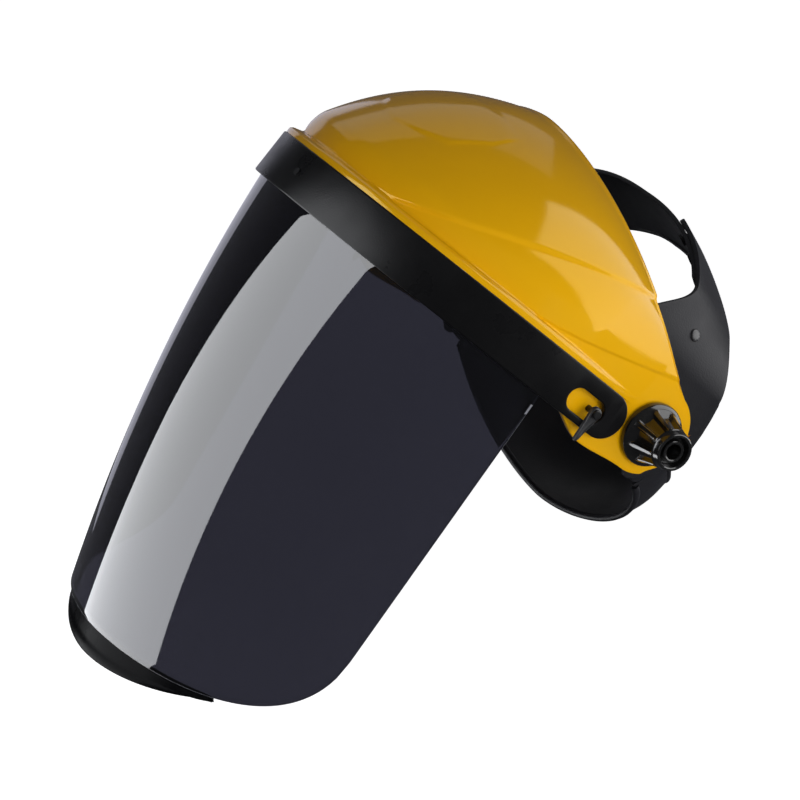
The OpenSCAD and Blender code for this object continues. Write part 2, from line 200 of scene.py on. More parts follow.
def extruded(outline, move):
    """A prism: a flat outline of points pushed along a direction."""
    bm = bmesh.new()
    face = bm.faces.new([bm.verts.new(p) for p in outline])
    made = bmesh.ops.extrude_face_region(bm, geom=[face])
    for v in (g for g in made["geom"] if isinstance(g, bmesh.types.BMVert)):
        v.co += Vector(move)
    bmesh.ops.recalc_face_normals(bm, faces=bm.faces[:])
    return bm


def slot_outline(u, z, run, width, step):
    """Outline of a round-ended slot, with run between the centres of its ends."""
    return [(u + side * (run / 2 + width / 2 * cosd(a)), z + side * width / 2 * sind(a))
            for side in (1, -1) for a in range(-90, 91, step)]


def mirrored(bm):
    """The same bmesh reflected to the right-hand side."""
    out = bm.copy()
    out.transform(Matrix.Scale(-1, 4, (1, 0, 0)))
    bmesh.ops.reverse_faces(out, faces=out.faces[:])
    return out


def joined(*parts):
    """Several bmeshes as one."""
    out = bmesh.new()
    for bm in parts:
        mesh = mesh_of("part", bm)
        out.from_mesh(mesh)
        bpy.data.meshes.remove(mesh)
    return out


def shell(rows, th, edge=0.5, segments=3, inward=True):
    """A sheet with one face on the surface and th to one side of it, its rims rounded."""
    return baked(grid(rows), [
        ("SOLIDIFY", {"thickness": th, "offset": -1.0 if inward else 1.0, "use_even_offset": True}),
        bevel(edge, segments, 60)])


# ---------------------------------------------------------------- materials
class Shader:
    """A node material being built."""

    def __init__(self, name):
        self.mat = bpy.data.materials.new(name)
        self.mat.use_nodes = True
        self.tree = self.mat.node_tree
        self.bsdf = self.tree.nodes["Principled BSDF"]
        self.coords = self.tree.nodes.new("ShaderNodeTexCoord").outputs["Object"]

    def set(self, **values):
        for key, value in values.items():
            self.bsdf.inputs[key.replace("_", " ")].default_value = value
        return self

    def node(self, kind, **values):
        """A new node with its inputs set."""
        node = self.tree.nodes.new("ShaderNode" + kind)
        for key, value in values.items():
            node.inputs[key].default_value = value
        return node

    def noise(self, scale, detail=4.0, rough=0.55, stretch=None):
        node = self.node("TexNoise", Scale=scale, Detail=detail, Roughness=rough)
        self.link(self.stretched(stretch), node.inputs["Vector"])
        return node.outputs["Fac"]

    def stretched(self, stretch):
        if stretch is None:
            return self.coords
        node = self.node("Mapping", Scale=stretch)
        self.link(self.coords, node.inputs["Vector"])
        return node.outputs["Vector"]

    def voronoi(self, scale):
        node = self.node("TexVoronoi", Scale=scale)
        self.link(self.coords, node.inputs["Vector"])
        return node.outputs["Distance"]

    def ramp(self, value, *stops):
        """A colour ramp through (position, grey or colour) stops."""
        node = self.node("ValToRGB")
        ramp = node.color_ramp
        while len(ramp.elements) < len(stops):
            ramp.elements.new(0.5)
        for element, (place, colour) in zip(ramp.elements, stops):
            element.position = place
            element.color = (*([colour] * 3 if isinstance(colour, (int, float)) else colour), 1.0)
        self.link(value, node.inputs["Fac"])
        return node.outputs["Color"]

    def mix(self, factor, a, b):
        node = self.node("Mix")
        node.data_type = "RGBA"
        self.link(factor, node.inputs["Factor"])
        for value, socket in ((a, node.inputs["A"]), (b, node.inputs["B"])):
            if isinstance(value, (tuple, list)):
                socket.default_value = (*value, 1.0)
            else:
                self.link(value, socket)
        return node.outputs["Result"]

    def math(self, op, a, b):
        node = self.node("Math")
        node.operation = op
        for value, socket in zip((a, b), node.inputs):
            if isinstance(value, (int, float)):
                socket.default_value = value
            else:
                self.link(value, socket)
        return node.outputs["Value"]

    def bump(self, *layers):
        """Bump from (height, distance in metres, strength) layers, the coarsest first."""
        normal = None
        for height, distance, strength in layers:
            node = self.node("Bump", Distance=distance, Strength=strength)
            self.link(height, node.inputs["Height"])
            if normal is not None:
                self.link(normal, node.inputs["Normal"])
            normal = node.outputs["Normal"]
        self.link(normal, self.bsdf.inputs["Normal"])
        return self

    def link(self, a, b):
        self.tree.links.new(a, b)

    def to(self, key, value):
        self.link(value, self.bsdf.inputs[key])
        return self


def guard_material():
    """Glossy amber-yellow moulding with a faint waviness."""
    sh = Shader("guard_yellow")
    patches = sh.noise(9.0, 2.0)
    sh.to("Base Color", sh.ramp(patches, (0.3, (0.8, 0.4, 0.002)), (0.7, (0.86, 0.44, 0.004))))
    sh.to("Roughness", sh.ramp(sh.noise(60.0, 6.0), (0.35, 0.085), (0.7, 0.13)))
    sh.bump((sh.noise(26.0, 2.0), 0.0004, 0.25), (sh.noise(900.0, 2.0), 0.00004, 0.25))
    return sh.set(IOR=1.49, Specular_Tint=(1.0, 0.84, 0.32, 1.0), Coat_Weight=0.03, Coat_Roughness=0.03).mat


def textured_black(name, colour, rough, grain=1500.0, depth=0.00006, wear=0.25, shine=0.5):
    """Moulded black plastic: fine spark texture, slightly polished and dusty in patches."""
    sh = Shader(name)
    patch = sh.noise(18.0, 5.0)
    light = tuple(c * (1 + wear) + 0.002 for c in colour)
    sh.to("Base Color", sh.mix(sh.ramp(patch, (0.35, 0.0), (0.75, 1.0)), colour, light))
    sh.to("Roughness", sh.ramp(sh.noise(45.0, 6.0), (0.3, rough - 0.07), (0.75, rough + 0.07)))
    sh.bump((sh.noise(30.0, 3.0), 0.0002, 0.2), (sh.voronoi(grain), depth, 0.5),
            (sh.noise(grain * 1.7, 3.0), depth, 0.4))
    return sh.set(IOR=1.5, Specular_IOR_Level=shine).mat


def gloss_black():
    """Polished black moulding with faint swirls."""
    sh = Shader("knob_gloss")
    sh.to("Base Color", sh.ramp(sh.noise(40.0, 3.0), (0.3, 0.006), (0.8, 0.011)))
    sh.to("Roughness", sh.ramp(sh.noise(120.0, 5.0), (0.3, 0.12), (0.8, 0.22)))
    sh.bump((sh.noise(70.0, 2.0), 0.0002, 0.15), (sh.noise(1600.0, 2.0), 0.00003, 0.2))
    return sh.set(IOR=1.52, Coat_Weight=0.3, Coat_Roughness=0.08).mat


def smoke_visor():
    """Dark smoke-tinted sheet with faint wipe marks and a few smears."""
    sh = Shader("visor_smoke")
    tint = sh.ramp(sh.noise(6.0, 2.0), (0.3, (0.018, 0.018, 0.027)), (0.7, (0.021, 0.021, 0.031)))
    smears = sh.ramp(sh.noise(9.0, 4.0, 0.5, (0.9, 2.4, 0.5)), (0.66, 0.0), (0.78, 1.0))
    sh.to("Base Color", sh.mix(sh.math("MULTIPLY", smears, 0.5), tint, (0.06, 0.06, 0.07)))
    sh.to("Transmission Weight", sh.math("SUBTRACT", 1.0, sh.math("MULTIPLY", smears, 0.03)))
    streaks = sh.noise(30.0, 6.0, 0.6, (1.0, 1.0, 0.12))
    sh.to("Roughness", sh.ramp(streaks, (0.45, 0.02), (0.75, 0.07)))
    sh.bump((sh.noise(5.0, 1.0), 0.0006, 0.12))
    return sh.set(IOR=1.58).mat


def visor_cut_glint():
    """The visor's sawn edge, frosted, and painted lighter as a painted highlight that stands in for the glint
    along it.
    """
    sh = Shader("visor_edge_glint")
    # pale base colour: partly the frosted cut, partly a painted highlight for the edge's glint
    sh.to("Base Color", sh.ramp(sh.noise(400.0, 3.0), (0.3, (0.16, 0.165, 0.19)), (0.7, (0.26, 0.265, 0.3))))
    sh.to("Roughness", sh.ramp(sh.noise(700.0, 3.0), (0.3, 0.3), (0.7, 0.5)))
    return sh.set(IOR=1.58).mat


def metal(name, colour, rough):
    """Plain metal with fine scratches round its axis."""
    sh = Shader(name)
    sh.to("Base Color", sh.mix(sh.noise(90.0, 4.0), colour, tuple(c * 0.75 for c in colour)))
    sh.to("Roughness", sh.ramp(sh.noise(200.0, 5.0), (0.3, rough - 0.06), (0.8, rough + 0.1)))
    sh.bump((sh.noise(60.0, 3.0, 0.6, (1.0, 40.0, 40.0)), 0.00003, 0.4))
    return sh.set(Metallic=1.0).mat


def rubber_material():
    """Matt rubber with a fine grain."""
    sh = Shader("washer_rubber")
    sh.to("Base Color", sh.ramp(sh.noise(60.0, 5.0), (0.3, 0.012), (0.8, 0.024)))
    sh.to("Roughness", sh.ramp(sh.noise(140.0, 4.0), (0.3, 0.6), (0.8, 0.8)))
    sh.bump((sh.noise(800.0, 4.0), 0.00008, 0.6))
    return sh.mat


def cloth_material():
    """Fine knit over foam."""
    sh = Shader("sweatband_cloth")
    wave = sh.node("TexWave", Scale=260.0, Distortion=1.5, Detail=2.0)
    wave.wave_type, wave.bands_direction = "BANDS", "DIAGONAL"
    sh.link(sh.coords, wave.inputs["Vector"])
    knit = sh.math("MULTIPLY", wave.outputs["Fac"], sh.noise(1400.0, 2.0))
    sh.to("Base Color", sh.ramp(knit, (0.1, (0.010, 0.010, 0.011)), (0.7, (0.035, 0.035, 0.038))))
    sh.to("Roughness", sh.ramp(sh.noise(50.0), (0.3, 0.85), (0.8, 0.95)))
    sh.bump((sh.noise(40.0, 3.0), 0.0006, 0.4), (knit, 0.0003, 0.8))
    return sh.set(Sheen_Weight=0.4, Sheen_Roughness=0.5).mat


YELLOW = guard_material()
FRAME_BLACK = textured_black("frame_black", (0.004, 0.004, 0.0045), 0.32, shine=0.16)
HARNESS_GREY = textured_black("harness_grey", (0.0125, 0.0125, 0.015), 0.42,
                              grain=1100.0, depth=0.00008, shine=0.16)
PART_BLACK = textured_black("part_black", (0.006, 0.006, 0.0065), 0.36, shine=0.35)
LATCH_GREY = textured_black("latch_grey", (0.022, 0.022, 0.024), 0.34)
LIP_BLACK = textured_black("lip_black", (0.003, 0.003, 0.0035), 0.3, shine=0.02)
KNOB_BLACK = gloss_black()
SMOKE, SMOKE_GLINT_EDGE = smoke_visor(), visor_cut_glint()
BRASS = metal("insert_brass", (0.62, 0.45, 0.19), 0.3)
STEEL = metal("bolt_steel", (0.48, 0.48, 0.5), 0.32)
RUBBER = rubber_material()
CLOTH = cloth_material()


# ---------------------------------------------------------------- visor frame
class PlanCurve:
    """A U in plan followed by length: 0 at the front's middle, + to the left, legs run back."""

    def __init__(self, half_w, front, rear, n, leg_end, steps=900):
        pts = [plan(90 - 90 * k / steps, half_w, front, rear, n) for k in range(steps + 1)]
        pts += [(half_w, lerp(-rear, -leg_end, k / 60)) for k in range(1, 61)]
        self.pts = [Vector(p) for p in pts]
        self.len = [0.0]
        for a, b in zip(self.pts, self.pts[1:]):
            self.len.append(self.len[-1] + (b - a).length)
        self.total = self.len[-1]

    def at(self, u, out=0.0):
        """Point at length u, moved outward by out."""
        side, v = (1 if u >= 0 else -1), abs(u)
        lo, hi = 0, len(self.len) - 1
        while hi - lo > 1:
            mid = (lo + hi) // 2
            lo, hi = (mid, hi) if self.len[mid] <= v else (lo, mid)
        a, b = self.pts[lo], self.pts[lo + 1]
        k = (v - self.len[lo]) / max(self.len[lo + 1] - self.len[lo], 1e-9)
        p = a.lerp(b, k)
        # the direction is taken over a longer stretch, so the wall turns evenly
        c, d = self.pts[max(lo - 3, 0)], self.pts[min(lo + 4, len(self.pts) - 1)]
        if lo < 4:
            c = Vector((-self.pts[4 - lo].x, self.pts[4 - lo].y))
        t = (d - c).normalized()
        return side * (p.x + t.y * out), p.y - t.x * out


FRAME_CURVE = PlanCurve(HALF_W, FRONT, VISOR_REAR, PLAN_N, FRAME_END)


def rounded_bar(length, low, top, th, step):
    """A flat bar (x along, y thickness, z height) with round ends, gridded along its length."""
    r = (top - low) / 2
    span = length - r
    outline = []
    for side in (1, -1):
        for k in range(25):
            a = side * 90 - 180 * k / 24
            outline.append((side * span + r * cosd(a), (low + top) / 2 + r * sind(a)))
        if side > 0:
            outline += [(x, low) for x in steps_between(span, -span, step)]
    outline += [(x, top) for x in steps_between(-span, span, step)]
    return extruded([(x, 0.0, z) for x, z in outline], (0, -th, 0))


def steps_between(a, b, step):
    """Points strictly between a and b, about a step apart."""
    n = max(int(abs(b - a) / step), 1)
    return [lerp(a, b, k / n) for k in range(1, n)]


def sliced(bm, planes):
    """Cuts a bmesh along X at each place, so that it can bend."""
    for x in planes:
        bmesh.ops.bisect_plane(bm, geom=bm.verts[:] + bm.edges[:] + bm.faces[:], dist=1e-5,
                               plane_co=(x, 0, 0), plane_no=(1, 0, 0))
    return bm


def bent(bm, curve):
    """A flat bar's points laid along a plan curve: x is length, y is depth inward."""
    for v in bm.verts:
        x, y = curve.at(v.co.x, v.co.y)
        v.co = Vector((x, y, v.co.z))
    return bm


def visor_frame():
    """The black band: a flat bar with a slot at each end, bent round the plan."""
    total = FRAME_CURVE.total
    bm = rounded_bar(total, FRAME_LOW, FRAME_TOP, FRAME_TH, 400.0)
    slot_u = total - (-SLOT_Y - FRAME_END)
    for side in (1, -1):
        slot = slot_outline(side * slot_u, SLOT_Z, SLOT_RUN, SLOT_W, 10)
        bm = cut_by(bm, extruded([(x, -20.0, z) for x, z in slot], (0, 40, 0)))
    bm = baked(bm, [bevel(0.7, 3, 50)])
    sliced(bm, [lerp(-total, total, k / 420) for k in range(1, 420)])
    new_piece("frame_band", bent(bm, FRAME_CURVE), "shield", FRAME_BLACK, ["visor_frame"])


visor_frame()


# ---------------------------------------------------------------- visor and chin lip
VISOR_INSET = FRAME_TH + 0.2           # the sheet hangs this far inside the frame's outer face
VISOR_TAPER = 16.6                     # how much narrower each side is at the foot
VISOR_LEAN, VISOR_BOW = 0.09, 0.00092  # how the front falls back with depth
VISOR_REAR_RUN = 26.8                  # how far the rear edges run back at the foot
FOOT_N = 2.04
VISOR_CUT_W = 1.0                      # faces narrower than this belong to the cut edge
LIP_FROM, LIP_START = 33.0, 34.0       # plan angles where the crescent's depth and its sheet begin
LIP_DROP, LIP_IN, LIP_TH = 12.0, 4.0, 1.3


def visor_depth(t, k):
    """Depth below the frame at a share k of the way to the foot, which sweeps up to the sides."""
    s = 1 - abs(t - 90) / 90
    return k * (VISOR_SIDE_H + (VISOR_H - VISOR_SIDE_H) * (1 - (1 - s) ** FOOT_N) ** (1 / FOOT_N))


def visor_point(t, h):
    """The visor's outer face at plan angle t, h below the frame."""
    g = max(h, 0.0)
    w = g / VISOR_H
    front = FRONT - VISOR_INSET - VISOR_LEAN * g - VISOR_BOW * g * g
    x, y = plan(t, HALF_W - VISOR_INSET - VISOR_TAPER * w, front, VISOR_REAR - VISOR_REAR_RUN * w)
    return x, y, FRAME_LOW - h


def visor():
    """The smoke sheet; its cut edge below the frame is painted lighter, a painted highlight for the glint
    that edge catches.
    """
    rows = [[visor_point(t, -VISOR_TUCK) for t in range(181)]]
    rows += [[visor_point(t, visor_depth(t, j / 60)) for t in range(181)] for j in range(61)]
    bm = shell(rows, VISOR_TH, 0.35, 2)
    bm.faces.ensure_lookup_table()
    for face in bm.faces:
        narrow = min(edge.calc_length() for edge in face.edges) < VISOR_CUT_W
        # narrow rim faces below the frame get the paler edge material, a painted highlight for the glint
        # along the cut
        face.material_index = 1 if narrow and face.calc_center_median().z < FRAME_LOW - 5 else 0
    sheet = new_piece("visor_sheet", bm, "shield", SMOKE, ["visor"])
    sheet.data.materials.append(SMOKE_GLINT_EDGE)


def lip_point(t, k):
    """The chin lip at plan angle t, with k from 0 at the visor's foot to 1 at its own lower edge."""
    b = sind(180 * (t - LIP_FROM) / (180 - 2 * LIP_FROM))
    tuck = 0.03 * k * smooth(b * 2.5)
    x, y, z = visor_point(t, visor_depth(t, 1.0))
    roll = 0.6 * sind(180 * min(max((k - 0.8) / 0.2, 0.0), 1.0))
    rise = 1.2 * (1 - 2 * min(k, 0.5)) * b
    drop = LIP_DROP * max(2 * k - 1, 0.0) * b + 0.3 * k
    return x * (1 - tuck) * (1 + 0.004 * roll), y * (1 - tuck) + LIP_IN * k * b - roll, z + rise - drop


def chin_lip():
    """Crescent hung from the visor's foot, deepest at the chin, with a rolled lower edge."""
    sweep = 180 - 2 * LIP_START
    rows = [[lip_point(LIP_START + sweep * i / 140, j / 24) for i in range(141)] for j in range(25)]
    new_piece("chin_crescent", shell(rows, LIP_TH, 0.5, 3), "shield", LIP_BLACK, ["chin_lip"])


visor()
chin_lip()

# ---------------------------------------------------------------- brow guard
RIM_IN = 1.4                           # the dome's base stands this far inside the frame's outer face
RIM_OUT = 0.8                          # and the rim's outer face this far
RIM_BOTTOM, RIM_TOP = FRAME_TOP + 0.05, FRAME_TOP + 2.9
LEG_SHARE = 0.34                       # the columns that stand along the frame's straight leg
LEG_BACK = -19.0                       # rear end of the rim, on the arm's round end
ARCH_LOW, ARCH_Y, GUARD_BACK = 20.5, 6.2, 74.0
GUARD_TOP = 83.0                       # height of the rear edge over the crown
DOME_PULL = (0.04, 0.4, 0.8)           # how far the dome's middle leans towards the arch
ARM_FACE = ARM_OUT - 0.1
ARM_TAB = 54.0                         # how far forward the arms reach behind the frame
GUARD_COLS = 220                       # columns of faces from an arm to the front's middle
RIM_ROWS, WALL_ROW = 5, 8              # rows up to the rim's top, and the row its inner wall drops from
ARC_SHARE = 0.07                       # the columns that follow the arm's round end
EDGE_K = 0.985                         # the dome's edge is rolled over from here on
DOME_LEVELS = [EDGE_K * (i / 104) ** 1.25 for i in range(1, 105)] + [
    EDGE_K + (1 - EDGE_K) * sind(90 * i / 6) for i in range(1, 7)]


def rim_point(s):
    """Dome's base at s, from 0 at the arm to 1 at the front."""
    if s < LEG_SHARE:
        f = lerp(LEG_BACK, VISOR_REAR, s / LEG_SHARE)
        out = max((f - FRAME_END) / (VISOR_REAR - FRAME_END), 0.0) ** 0.8
        return Vector((lerp(ARM_FACE, HALF_W - RIM_IN, out), -f, RIM_TOP))
    t = 90 * (s - LEG_SHARE) / (1 - LEG_SHARE)
    return Vector((*plan(t, HALF_W - RIM_IN, FRONT - RIM_IN, VISOR_REAR), RIM_TOP))


def arch_point(s):
    """Rear edge of the guard, from an arm over the crown."""
    up = sind(90 * s)
    return Vector((ARM_FACE * max(cosd(90 * s), 0.0) ** 1.18, lerp(ARCH_Y, -GUARD_BACK, up ** 0.79),
                   lerp(ARCH_LOW, GUARD_TOP, up ** 0.965)))


def edge_point(s):
    """The guard's rear outline: up round the arm's end, then along the arch."""
    if s < ARC_SHARE:
        k = s / ARC_SHARE
        a = lerp(math.degrees(math.atan2(RIM_TOP, LEG_BACK)), math.degrees(math.atan2(ARCH_LOW, -ARCH_Y)), k)
        r = lerp(math.hypot(RIM_TOP, LEG_BACK), math.hypot(ARCH_LOW, ARCH_Y), k)
        return Vector((ARM_FACE, -r * cosd(a), r * sind(a)))
    u = (s - ARC_SHARE) / (1 - ARC_SHARE)
    return arch_point(lerp(u, s, smooth(u / 0.35)))


def dome_point(s, k):
    """The smooth dome: k runs from 0 at its base to 1 at the rear edge."""
    a, b = rim_point(s), edge_point(s)
    c = Vector([lerp(a[i], b[i], DOME_PULL[i]) for i in range(3)])
    return a * (1 - k) ** 2 + c * (2 * k * (1 - k)) + b * k * k


def curve_level(f, p0, p1, p2):
    """Height of the quadratic curve p0 p1 p2 where it is f forward."""
    a, b, c = p0[0] - 2 * p1[0] + p2[0], 2 * (p1[0] - p0[0]), p0[0] - f
    t = (-b - math.sqrt(max(b * b - 4 * a * c, 0.0))) / (2 * a) if abs(a) > 1e-9 else -c / b
    return (1 - t) ** 2 * p0[1] + 2 * t * (1 - t) * p1[1] + t * t * p2[1]


def step_profile(d, high, above, below):
    """A moulded step: the panel above it stands proud, the one below dips in under it."""
    if d > 0.6:
        return high * math.exp(-(d - 0.6) / above)
    if d < -0.6:
        return -0.75 * high * math.exp((d + 0.6) / below)
    return high * lerp(-0.75, 1.0, smooth((d + 0.6) / 1.2))


def panel_edge(x, z):
    """Depth inside the raised panel on the brow, whose corners are at (x, z)."""
    corners = [(0, 38.5), (16, 41), (30.5, 44.5), (36, 56), (33.5, 66), (12, 69.5), (0, 70)]
    x = abs(x)
    inside = 99.0
    for (x0, z0), (x1, z1) in zip(corners, corners[1:]):
        nx, nz = -(z1 - z0), x1 - x0
        inside = min(inside, ((x - x0) * nx + (z - z0) * nz) / math.hypot(nx, nz))
    return inside


def relief(p, k):
    """How far the moulded lines lift the guard's surface at a point."""
    f, level = -p.y, p.z
    upper = level - curve_level(max(min(f, 149.5), 25.0), (150, 6.5), (95, 41), (38, 47.5))
    lift = step_profile(upper * 0.86, 0.55, 12.0, 7.0) * smooth((156 - f) / 12)
    lower = level - (8 + 19 * max(1 - f / 97, 0.0) ** 1.2)
    lift += step_profile(lower * 0.95, 0.55, 9.0, 6.0) * smooth((99 - f) / 14) * smooth((f + 8) / 8)
    lift += 0.4 * smooth(panel_edge(p.x, level) / 1.8 + 0.5) * smooth((f - 100) / 8)
    rolled = min(max((k - EDGE_K) / (1 - EDGE_K), 0.0), 1.0)
    return lift + 0.45 * smooth((k - 0.955) / 0.015) - 0.7 * (1 - math.sqrt(1 - rolled ** 2))


def guard_column(s):
    """Points from the rim's foot over the dome to the rear edge, and their k."""
    base = rim_point(s)
    f = -base.y
    proud = smooth((f - FRAME_END) / (VISOR_REAR - FRAME_END))
    ahead = smooth((f - 60) / 90)
    if s < LEG_SHARE:
        out = Vector((1.0, 0.0))
    else:
        a, b = rim_point(s - 0.004), rim_point(min(s + 0.004, 1.0))
        out = Vector((-(b.y - a.y), b.x - a.x)).normalized() if s < 0.999 else Vector((0.0, -1.0))
    step = RIM_IN - RIM_OUT
    ledge = lerp(1.2, 4.6, ahead) * proud
    pts = []
    for z, o in ((RIM_BOTTOM, step), (RIM_BOTTOM + 0.9, step), (RIM_TOP - 0.8, step),
                 (RIM_TOP - 0.25, step - 0.15), (RIM_TOP, step - 0.6)):
        pts.append((Vector((base.x + out.x * o * proud, base.y + out.y * o * proud, z)), 0.0))
    for k in DOME_LEVELS:
        p = dome_point(s, k)
        rise = p.z - RIM_TOP
        inset = ledge * (1 - smooth((rise + 1.0) / 17.0))
        p.x -= out.x * inset * smooth((k + 0.002) / 0.02)
        p.y -= out.y * inset * smooth((k + 0.002) / 0.02)
        p.z += 0.4 * proud * (1 - smooth(rise / 3.0))
        pts.append((p, k))
    return pts


def arm_low(f):
    """Lower edge of an arm."""
    if f <= 0:
        return -math.sqrt(max(ARM_R ** 2 - f * f, 0.0))
    if f <= 28:
        return lerp(-ARM_R, -22.5, smooth(f / 28))
    return lerp(-22.5, -15.0, smooth((f - 28) / (ARM_TAB - 28)))


def arm_column(foot, rows=14):
    """Points from the rim's foot down to the arm's lower edge."""
    f = -foot.y
    low = arm_low(max(f, LEG_BACK))
    round_end = max(0.0, 1 - (f - LEG_BACK) / 8)
    pts = []
    for j in range(1, rows + 1):
        z = lerp(RIM_BOTTOM - 0.35, low, sind(90 * (j - 1) / (rows - 1)))
        shift = round_end * (math.sqrt(max(ARM_R ** 2 - z * z, 0.0)) + LEG_BACK)
        rolled = min(max(1 - (z - low) / 0.6, 0.0), 1.0)
        pts.append(Vector((ARM_FACE - 0.5 * (1 - math.sqrt(1 - rolled ** 2)), foot.y + shift, z)))
    return pts


def thickened(bm, inner):
    """Gives a sheet its other face, through the points that inner holds for its vertices."""
    twin = {v: bm.verts.new(inner[v]) for v in bm.verts[:]}
    for face in bm.faces[:]:
        bm.faces.new([twin[v] for v in reversed(face.verts)])
    for edge in [e for e in bm.edges if len(e.link_faces) == 1 and e.verts[0] in twin and e.verts[1] in twin]:
        loop = edge.link_loops[0]
        a, b = loop.vert, loop.link_loop_next.vert
        bm.faces.new((b, a, twin[a], twin[b]))
    bmesh.ops.remove_doubles(bm, verts=bm.verts[:], dist=2e-3)
    bmesh.ops.dissolve_degenerate(bm, edges=bm.edges[:], dist=2e-3)
    return bm


def dome_sheet(bm, inner):
    """The dome's outer face as columns of vertices; inner collects the points behind them."""
    half = [guard_column(i / GUARD_COLS) for i in range(GUARD_COLS + 1)]
    columns = half + [[(Vector((-p.x, p.y, p.z)), k) for p, k in col] for col in reversed(half[:-1])]
    count, rows = len(columns), len(columns[0])
    base = [[p for p, _ in col] for col in columns]

    def normal(i, j):
        across = base[min(i + 1, count - 1)][j] - base[max(i - 1, 0)][j]
        along = base[i][min(j + 1, rows - 1)] - base[i][max(j - 1, 0)]
        cross = along.cross(across)
        return cross.normalized() if cross.length > 1e-5 else Vector((math.copysign(1, base[i][j].x), 0, 0))

    verts = []
    for i, col in enumerate(columns):
        line = []
        settle = smooth((min(i, count - 1 - i) - 12) / 14)
        wall = base[i][WALL_ROW] - normal(i, WALL_ROW) * GUARD_TH
        for j, (p, k) in enumerate(col):
            lift = relief(p, k) * smooth(k / 0.03) * settle if j >= RIM_ROWS else 0.0
            n = normal(i, j)
            v = bm.verts.new(p + n * lift)
            inner[v] = p - n * GUARD_TH if j > WALL_ROW else Vector((wall.x, wall.y, min(p.z, wall.z)))
            line.append(v)
        verts.append(line)
    for a, b in zip(verts, verts[1:]):
        for j in range(rows - 1):
            bm.faces.new((a[j], a[j + 1], b[j + 1], b[j]))
    return verts


def arm_sheet(bm, inner, feet):
    """The outer face of one arm, hung from the rim's foot vertices."""
    before = None
    for top in feet:
        if -top.co.y > ARM_TAB:
            break
        side = 1 if top.co.x > 0 else -1
        line = [top]
        for p in arm_column(top.co):
            v = bm.verts.new((side * p.x, p.y, p.z))
            inner[v] = Vector((side * (ARM_X + ARM_FACE - p.x), p.y, p.z))
            line.append(v)
        if before:
            for j in range(len(line) - 1):
                quad = (before[j], before[j + 1], line[j + 1], line[j])
                bm.faces.new(quad if side < 0 else quad[::-1])
        before = line


def brow_guard():
    """The yellow shell with its two arms, one moulding."""
    bm, inner = bmesh.new(), {}
    feet = [line[0] for line in dome_sheet(bm, inner)]
    arm_sheet(bm, inner, feet[:GUARD_COLS])
    arm_sheet(bm, inner, feet[:GUARD_COLS:-1])
    middle = Vector((0, -60, 20))
    if sum(f.normal.dot(f.calc_center_median() - middle) for f in bm.faces) < 0:
        bmesh.ops.reverse_faces(bm, faces=bm.faces[:])
    new_piece("guard_shell", thickened(bm, inner), "shield", YELLOW, ["brow_guard"], 50)


brow_guard()


# ---------------------------------------------------------------- more ways of making pieces
def table(value, *points):
    """Straight interpolation through (place, value) points in rising order."""
    if value <= points[0][0]:
        return points[0][1]
    for (a, va), (b, vb) in zip(points, points[1:]):
        if value <= b:
            return lerp(va, vb, (value - a) / (b - a))
    return points[-1][1]


def tube(path, r, flat=1.0, steps=12):
    """A closed rod along a path; flat squeezes it against the vertical."""
    bm = bmesh.new()
    rings = []
    for i, p in enumerate(path):
        along = (Vector(path[min(i + 1, len(path) - 1)]) - Vector(path[max(i - 1, 0)])).normalized()
        side = along.cross(Vector((0, 0, 1))).normalized()
        up = side.cross(along)
        rings.append([bm.verts.new(Vector(p) + side * (r * flat * cosd(a)) + up * (r * sind(a)))
                      for a in (360 * k / steps for k in range(steps))])
    wrapped(bm, rings)
    bm.faces.new(rings[0][::-1])
    bm.faces.new(rings[-1])
    return bm


def turned(profile, steps=144, y=0.0, z=0.0, radius=None):
    """A shape turned about X from (x, r) points; radius(x, r, angle) may cut flutes in it."""
    bm = bmesh.new()
    rings = []
    for x, r in profile:
        ring = []
        for k in range(steps):
            a = 360 * k / steps
            rr = radius(x, r, a) if radius else r
            ring.append(bm.verts.new((x, y + rr * cosd(a), z + rr * sind(a))))
        rings.append(ring)
    wrapped(bm, rings)
    if profile[0][1] > 0 and profile[0] != profile[-1]:
        bm.faces.new(rings[0])
        bm.faces.new(rings[-1][::-1])
    bmesh.ops.remove_doubles(bm, verts=bm.verts[:], dist=1e-4)
    return bm


def rounded(points, r, steps=5):
    """An outline with its corners rounded off."""
    out = []
    for i, p in enumerate(points):
        p = Vector(p)
        a, b = Vector(points[i - 1]), Vector(points[(i + 1) % len(points)])
        cut = min(r, (a - p).length * 0.45, (b - p).length * 0.45)
        u, v = p + (a - p).normalized() * cut, p + (b - p).normalized() * cut
        for k in range(steps + 1):
            t = k / steps
            out.append(u * (1 - t) ** 2 + p * (2 * t * (1 - t)) + v * t * t)
    return out


def plate(outline, x0, x1, edge=0.4):
    """A plate between x0 and x1 from a (forward, up) outline, its edges rounded."""
    return baked(extruded([(x0, -f, u) for f, u in outline], (x1 - x0, 0, 0)), [bevel(edge, 2, 50)])


def both(name, make, bodies, material, replaced, angle=35):
    """The same piece on the left and on the right, each on its own body."""
    for side, body, bm in (("left", bodies[0], make()), ("right", bodies[1], mirrored(make()))):
        new_piece(f"{name}_{side}", bm, body, material, [f"{replaced}_{side}"], angle)


def from_x(x0, *points):
    """Profile points given as (distance on from x0, radius)."""
    return [(x0 + x, r) for x, r in points]


def domed(x, r, height, foot, rows=6):
    """Profile of a domed head that stands on x, from its foot outward."""
    dome = [(x + height * sind(90 * k / rows), r * cosd(90 * k / rows) ** 0.6) for k in range(1, rows)]
    return [(x - foot, 0.0), (x - foot, r), (x, r)] + dome + [(x + height, 0.0)]


# ---------------------------------------------------------------- head harness
ARCH_BASE = 30.0
CROWN_TOP, ARCH_DROP = 90.0, 8.0
PLATE_BACK, PLATE_FRONT = -35.0, 30.0
STRAP_BACK, STRAP_FRONT = -30.0, 6.0
STUD_V = 0.803                         # place of the snap studs on the crown arch
TUCK_X = BAND_X - 0.3                  # outer face of the nape strap's tabs


